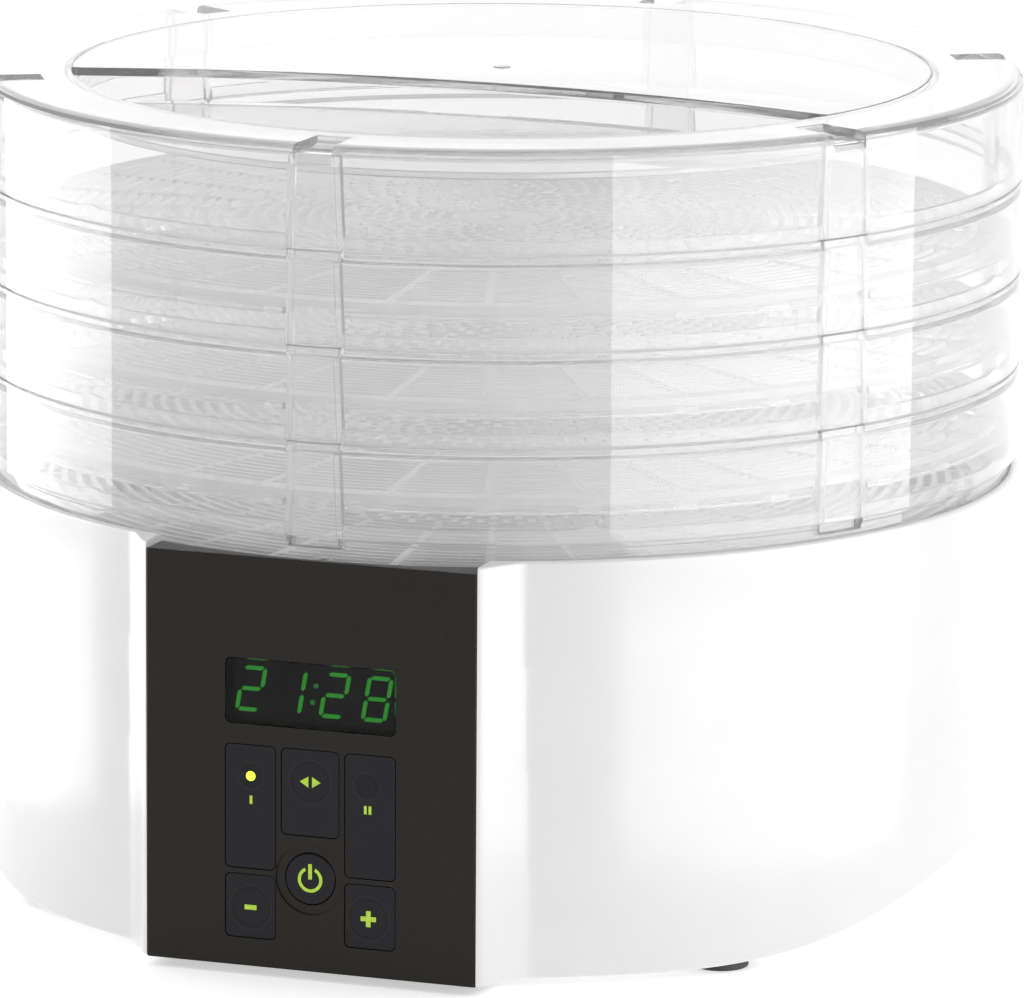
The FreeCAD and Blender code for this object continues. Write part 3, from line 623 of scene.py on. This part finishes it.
def recess_edge(degrees):
    """Radius of the finger recess's rear edge in a direction."""
    across = -RECESS_ARC_Y * math.cos(math.radians(degrees))
    return across - math.sqrt(across ** 2 - (RECESS_ARC_Y ** 2 - RECESS_ARC_R ** 2))


def lid_plate():
    """Middle of the lid: the plate, the finger recess's rear wall and its floor."""
    edge = RING_IN_R - 0.03
    limit_r = edge - RECESS_WALL - 0.3
    span = RECESS_ARC_Y ** 2 - RECESS_ARC_R ** 2
    limit = math.degrees(math.acos((limit_r ** 2 + span) / (-2 * RECESS_ARC_Y * limit_r)))
    floor_top = RING_LOW + 2.0
    sections = []
    count = 90
    for step in range(count + 1):
        degrees = -limit + 2 * limit * step / count
        rear = recess_edge(degrees)
        corners = [(0.5, LID_TOP, 0), (rear + RECESS_WALL, LID_TOP, 0.9), (rear + RECESS_WALL, floor_top, 1.0)]
        corners += [(edge, floor_top, 0.5), (edge, RING_LOW, 0.5), (rear, RING_LOW, 0.9), (rear, LID_UNDER, 0.8)]
        corners.append((0.5, LID_UNDER, 0))
        sections.append([polar(point.x, degrees, point.y) for point in rounded(corners)])
    count = 80
    for step in range(count + 1):
        degrees = limit + 0.25 + (360.0 - 2 * limit - 0.5) * step / count
        corners = [(0.5, LID_TOP, 0), (edge - 2.4, LID_TOP, 0.2), (edge - 1.6, LID_TOP, 0.2)]
        corners += [(edge, LID_TOP, 0.4), (edge, LID_UNDER, 0.4), (edge - 1.6, LID_UNDER, 0.2), (edge - 2.4, LID_UNDER, 0.2)]
        corners.append((0.5, LID_UNDER, 0))
        sections.append([polar(point.x, degrees, point.y) for point in rounded(corners)])
    nub = lathe([(0.0, LID_TOP + 0.01, 0), (3.0, LID_TOP + 0.01, 0.1), (2.4, NUB_TOP, 0.3), (0.0, NUB_TOP - 0.1, 0)], 32)
    return joined([loft(sections), nub])


def build_lid():
    piece("lid_shell", lid_shell(), finish_of["clear_stack"], "lid", ("lid",), clear=True)
    piece("lid_plate", lid_plate(), finish_of["clear_lid"], "lid", clear=True)


# ---- white base ---------------------------------------------------------------------------------------
FOOT_R = 163.0
CHEEK_NORMAL = 57.3                              # the cheeks beside the panel face this way
CHEEK_REACH = 135.56
OPENING_HALF = PANEL_HALF + 0.2
ARCH_HEIGHT = 20.5
ARCH_HALF = 132.0
ARCH_MID_Y = 8.0
RIM_IN_R = 162.7
LEDGE_IN_R = 152.0
LEDGE_LOW = 122.5
LEDGE_TOP = 125.2


def smooth_max(a, b, soft):
    return (a + b + math.sqrt((a - b) ** 2 + soft ** 2)) / 2


def smooth_min(a, b, soft):
    return (a + b - math.sqrt((a - b) ** 2 + soft ** 2)) / 2


def shell_radius(degrees, z):
    """Outside of the base: a drum, and at the front the cheeks that carry the panel."""
    rise = (z - BASE_LOW) / (BASE_TOP - BASE_LOW)
    drum = FOOT_R + (DRUM_R - FOOT_R) * rise
    off = abs((degrees + 180.0) % 360.0 - 180.0)
    if off > 45.0:
        return drum
    cheek = CHEEK_REACH / math.cos(math.radians(off - CHEEK_NORMAL))
    face = (PANEL_FRONT - 0.05) / math.cos(math.radians(off))
    fade = max(0.0, 1.0 - max(0.0, off - 30.0) / 15.0)
    return smooth_min(smooth_max(drum, cheek, 0.9 * fade), face, 1.0)


def arch_at(degrees, radius):
    x, y, _ = polar(radius, degrees, 0)
    along = (y - ARCH_MID_Y) / ARCH_HALF
    if abs(x) < 100.0 or abs(along) > 1.0:
        return 0.0
    return ARCH_HEIGHT * math.cos(math.pi / 2 * along) ** 2


def base_shell():
    turn_end = 44.0
    first = math.degrees(math.asin(OPENING_HALF / 174.0))
    half = [first + 0.4 * step for step in range(int((turn_end - first) / 0.4))]
    half += [turn_end + (180.0 - turn_end) * step / 80 for step in range(81)]
    angles = half + [360.0 - angle for angle in reversed(half[:-1])]
    sections = []
    for nominal in angles:
        low = BASE_LOW + arch_at(nominal, FOOT_R)
        corners = [(160.6, low, 0.6), (FOOT_R, low, 0.9)]
        levels = [low + (BASE_TOP - low) * share for share in (0.25, 0.5, 0.75)]
        corners += [(FOOT_R, level, 0.4) for level in levels]
        corners += [(DRUM_R, BASE_TOP, 1.5), (RIM_IN_R, BASE_TOP, 0.7), (RIM_IN_R, LEDGE_TOP, 0.4)]
        corners += [(LEDGE_IN_R, LEDGE_TOP, 0.4), (LEDGE_IN_R, LEDGE_LOW, 0.4), (162.0, LEDGE_LOW, 0.5)]
        outline = rounded(corners)
        outer_count = 6 * 4
        section = []
        for index, point in enumerate(outline):
            on_outside = 4 <= index < outer_count
            depth = (DRUM_R if index >= 20 else FOOT_R) - point.x
            off = nominal if nominal <= 180.0 else 360.0 - nominal
            reach = shell_radius(off, point.y) - depth if on_outside else point.x
            start = math.degrees(math.asin(OPENING_HALF / reach))
            if off < turn_end:
                turned = start + (off - first) * (turn_end - start) / (turn_end - first)
            else:
                turned = off
            if on_outside:
                reach = shell_radius(turned, point.y) - depth
            section.append(polar(reach, turned if nominal <= 180.0 else -turned, point.y))
        sections.append(section)
    return loft(sections, closed=False)


def build_base():
    piece("base_shell", base_shell(), finish_of["white_shell"], "base", ("base_housing",), 40)


# ---- display and icons --------------------------------------------------------------------------------
DIGIT_TALL = 14.2
DIGIT_WIDE = 8.2
DIGIT_SLANT = math.tan(math.radians(10))
SEGMENT = 1.15
DIGIT_Z0 = WINDOW_LOW.z + 3.0
DIGITS = ((-20.6, "abged"), (-7.4, "bc"), (6.7, "abged"), (20.4, "abcdefg"))


def segment(centre, across, up, level):
    """One bar of a digit with pointed ends, as outline points (x, z)."""
    long_half = (DIGIT_WIDE - SEGMENT) / 2 - 0.5 if level else DIGIT_TALL / 4 - 0.65
    thick = SEGMENT / 2
    tips = [(-long_half, 0), (-long_half + thick, thick), (long_half - thick, thick), (long_half, 0)]
    tips += [(long_half - thick, -thick), (-long_half + thick, -thick)]
    points = []
    for along, beside in tips:
        x, z = (along, beside) if level else (beside, along)
        height = up + z
        points.append((centre + across + x + (height - DIGIT_TALL / 2) * DIGIT_SLANT, DIGIT_Z0 + height))
    return points


def digits():
    side = (DIGIT_WIDE - SEGMENT) / 2
    upper = DIGIT_TALL * 0.75
    lower = DIGIT_TALL * 0.25
    bars = {"a": (0, DIGIT_TALL - SEGMENT / 2, True), "b": (side, upper, False), "c": (side, lower, False),
            "d": (0, SEGMENT / 2, True), "e": (-side, lower, False), "f": (-side, upper, False),
            "g": (0, DIGIT_TALL / 2, True)}
    shapes = []
    for centre, names in DIGITS:
        for name in names:
            shapes.append(upright_slab(segment(centre, *bars[name]), 161.3, 161.9))
    return joined(shapes)


def round_outline(radius, x, z, steps=28, start=0.0, end=360.0):
    points = []
    for step in range(steps):
        angle = math.radians(start + (end - start) * step / steps)
        points.append((x + radius * math.sin(angle), z + radius * math.cos(angle)))
    return points


def colon():
    spots = [(-0.6, DIGIT_Z0 + 4.4), (0.5, DIGIT_Z0 + 9.6)]
    return joined([upright_slab(round_outline(0.75, x, z, 16), 161.3, 161.9) for x, z in spots])


def bar_outline(x, z, wide, tall):
    return [(x - wide / 2, z - tall / 2), (x + wide / 2, z - tall / 2), (x + wide / 2, z + tall / 2), (x - wide / 2, z + tall / 2)]


def power_outline(x, z, radius, thick, gap):
    """Open ring of the power symbol."""
    outer = [(x + radius * math.sin(math.radians(a)), z + radius * math.cos(math.radians(a)))
             for a in [gap + (360 - 2 * gap) * step / 40 for step in range(41)]]
    inner = [(x + (radius - thick) * math.sin(math.radians(a)), z + (radius - thick) * math.cos(math.radians(a)))
             for a in [360 - gap - (360 - 2 * gap) * step / 40 for step in range(41)]]
    return outer + inner


def plus_outline(x, z, reach, half):
    quarter = [(half, reach), (half, half), (reach, half)]
    points = list(quarter)
    points += [(reach, -half), (half, -half), (half, -reach)]
    points += [(-half, -reach), (-half, -half), (-reach, -half)]
    points += [(-reach, half), (-half, half), (-half, reach)]
    return [(x + across, z + up) for across, up in points]


PRINT = 0.06                                     # thickness of printed icons
DIMPLE = 0.02                                    # thickness of the flat rings of painted shade and painted highlight that mark the pressing points


def printed(outlines, face):
    return joined([upright_slab(outline, face + DIMPLE + 0.01, face + DIMPLE + PRINT) for outline in outlines])


def dimple_ring(x, z, inner, outer, face):
    """Thin flat ring on the panel, with rounded edges, that carries painted shade or a painted highlight."""
    corners = [(inner, face + 0.004, 0), (outer, face + 0.004, 0), (outer, face + DIMPLE, 0), (inner, face + DIMPLE, 0)]
    sections = []
    for step in range(48):
        angle = math.radians(7.5 * step)
        sections.append([(x + r * math.sin(angle), -depth, z + r * math.cos(angle)) for r, depth, _ in corners])
    return loft(sections)


def centre_of(node):
    middle = (low_of(node) + high_of(node)) / 2
    return middle.x, middle.z


def build_panel_marks():
    paint = lit("icon_paint", (0.36, 0.56, 0.03), 0.35)
    glow = finish_of["lamp_light"]
    piece("display_bars", digits(), finish_of["digit_light"], "base", ("display_digits",))
    dim = lit("colon_light", (0.03, 0.34, 0.05), 1.2)
    piece("display_colon", colon(), dim, "base")
    window_face = PANEL_FRONT - 0.1
    piece("mark_one", printed([bar_outline(-19.3, 55.2, 0.9, 2.6)], window_face), paint, "base")
    two = [bar_outline(18.0, 55.2, 0.9, 2.6), bar_outline(19.5, 55.2, 0.9, 2.6)]
    piece("mark_two", printed(two, window_face), paint, "base")
    lamp = printed([round_outline(1.5, -19.4, 62.6)], window_face)
    piece("lamp_lens_left", lamp, glow, "base")
    arrows = [[(-0.6, 60.6), (-0.6, 64.0), (-3.4, 62.3)], [(0.6, 60.6), (3.4, 62.3), (0.6, 64.0)]]
    piece("mark_program", printed(arrows, KEY_FACE), paint, "key_program")
    piece("mark_minus", printed([bar_outline(-19.5, 21.4, 3.9, 1.5)], KEY_FACE), paint, "key_time_minus")
    piece("mark_plus", printed([plus_outline(19.0, 21.2, 2.5, 0.75)], KEY_FACE), paint, "key_time_plus")
    # Dark flat rings are painted shade: they stand in for the shade inside the dished pressing points of the keys and
    # the dishes round the lamps.
    shade = moulded("dimple_shade", (0.0065, 0.006, 0.008), 0.30, 2400.0, 0.000004, 0.06, specular=0.2)
    # Slightly lighter flat rings are a painted highlight on the rims of the dishes.
    painted_highlight = moulded("rim_highlight_paint", (0.018, 0.017, 0.020), 0.30, 2400.0, 0.000004, 0.06, specular=0.2)
    # Each key gets a flat ring of painted shade and a ring of painted highlight round its pressing point.
    for name, body, spot in (("program", "key_program", (0.0, 62.3)), ("minus", "key_time_minus", (-19.5, 21.4)),
                             ("plus", "key_time_plus", (19.0, 21.2))):
        piece("dimple_" + name, dimple_ring(*spot, 5.6, 6.6, KEY_FACE), shade, body)
        piece("dimple_highlight_ring_" + name, dimple_ring(*spot, 6.62, 7.1, KEY_FACE), painted_highlight, body)
    # Each lamp gets a flat ring of painted shade and a ring of painted highlight round it.
    for name, across in (("left", -19.4), ("right", 18.4)):
        piece("lamp_dish_shade_" + name, dimple_ring(across, 62.6, 2.0, 4.0, window_face), shade, "base")
        piece("lamp_highlight_ring_" + name, dimple_ring(across, 62.6, 4.02, 4.5, window_face), painted_highlight, "base")
    piece("lamp_lens_right", printed([round_outline(1.2, 18.4, 62.6)], window_face), shade, "base")
    x, z = centre_of("key_power")
    power = [power_outline(x, z - 0.2, 4.0, 1.0, 26.0), bar_outline(x, z + 2.3, 1.2, 4.8)]
    piece("mark_power", printed(power, KEY_FACE), paint, "key_power")


# ---- stage, lights and camera -------------------------------------------------------------------------
def build_floor():
    made, tree, shader = shader_of("floor_white")
    cloud = noise_in(tree, 3.0)
    tree.links.new(tone(tree, cloud.outputs["Fac"], (0.90, 0.90, 0.90), (0.92, 0.92, 0.92)), shader.inputs["Base Color"])
    shader.inputs["Roughness"].default_value = 0.7
    shader.inputs["Specular IOR Level"].default_value = 0.2
    shader.inputs["Emission Color"].default_value = (1.0, 1.0, 1.0, 1.0)
    shader.inputs["Emission Strength"].default_value = 0.50
    mesh = bpy.data.meshes.new("floor")
    reach = 9.0
    mesh.from_pydata([(-reach, -reach, 0), (reach, -reach, 0), (reach, reach, 0), (-reach, reach, 0)], [], [(0, 1, 2, 3)])
    mesh.materials.append(made)
    floor = bpy.data.objects.new("floor", mesh)
    scene.collection.objects.link(floor)


def softbox(name, first, second, low, high, radiance, glossy_only=True):
    """Upright light panel over the line from first to second, facing the drum."""
    data = bpy.data.lights.new(name, "AREA")
    start = Vector(first)
    end = Vector(second)
    middle = (start + end) / 2
    along = end - start
    data.shape = "RECTANGLE"
    data.size = along.length
    data.size_y = high - low
    data.energy = radiance * math.pi * along.length * (high - low)
    normal = Vector((along.y, -along.x)).normalized()
    if normal.dot(middle) > 0:
        normal = -normal
    made = bpy.data.objects.new(name, data)
    made.location = (middle.x, middle.y, (low + high) / 2)
    made.rotation_euler = Vector((normal.x, normal.y, 0)).to_track_quat("-Z", "Y").to_euler()
    made.visible_camera = False
    made.visible_transmission = False
    made.visible_diffuse = not glossy_only
    made.visible_glossy = glossy_only
    scene.collection.objects.link(made)
    return made


def build_lights():
    softbox("softbox_right", (0.436, -0.499), (0.512, 0.170), 0.035, 0.34, 4.2)
    softbox("softbox_left", (-0.55, -0.283), (-0.55, 0.139), 0.035, 0.34, 4.2)
    softbox("softbox_back", (-1.1, 1.6), (1.1, 1.6), 0.25, 1.3, 0.85)
    softbox("low_right", (0.2, -0.24), (0.285, 0.02), 0.001, 0.088, 2.8)
    softbox("low_left", (-0.25, -0.17), (-0.25, 0.06), 0.001, 0.088, 2.8)
    softbox("key_right", (1.45, -0.5), (1.45, 0.9), 0.1, 1.3, 1.6, False)
    softbox("key_left", (-1.45, -0.6), (-1.45, 0.6), 0.1, 1.3, 1.0, False)
    data = bpy.data.lights.new("overhead", "AREA")
    data.shape = "RECTANGLE"
    data.size = 1.6
    data.size_y = 1.2
    data.energy = 5.0
    top = bpy.data.objects.new("overhead", data)
    top.location = (0.0, 0.25, 1.7)
    top.visible_camera = False
    top.visible_transmission = False
    scene.collection.objects.link(top)
    world = bpy.data.worlds.new("studio")
    scene.world = world
    world.use_nodes = True
    background = world.node_tree.nodes["Background"]
    background.inputs["Color"].default_value = (1.0, 1.0, 1.0, 1.0)
    background.inputs["Strength"].default_value = 0.56


def build_camera():
    data = bpy.data.cameras.new("camera")
    data.sensor_width = 36.0
    data.lens = 320.9
    data.clip_end = 60.0
    made = bpy.data.objects.new("camera", data)
    turn = Matrix.Rotation(math.radians(20.14 - 0.0797), 4, "Z")
    tilt = Matrix.Rotation(math.radians(90.0 - 11.59), 4, "X")
    roll = Matrix.Rotation(math.radians(0.323), 4, "Z")
    made.matrix_world = Matrix.Translation((0.9827, -2.6795, 0.7039)) @ turn @ tilt @ roll
    scene.collection.objects.link(made)
    scene.camera = made


def set_up_render():
    scene.view_settings.view_transform = "Standard"
    scene.view_settings.look = "None"
    scene.cycles.use_denoising = True
    scene.cycles.max_bounces = 20
    scene.cycles.transmission_bounces = 20
    scene.cycles.glossy_bounces = 10
    scene.cycles.diffuse_bounces = 4
    scene.cycles.transparent_max_bounces = 16
    scene.cycles.sample_clamp_indirect = 6.0
    scene.cycles.caustics_reflective = False


build_camera()
build_floor()
build_lights()
set_up_render()
build_base()
build_seat()
build_trays()
build_lid()
build_panel_marks()
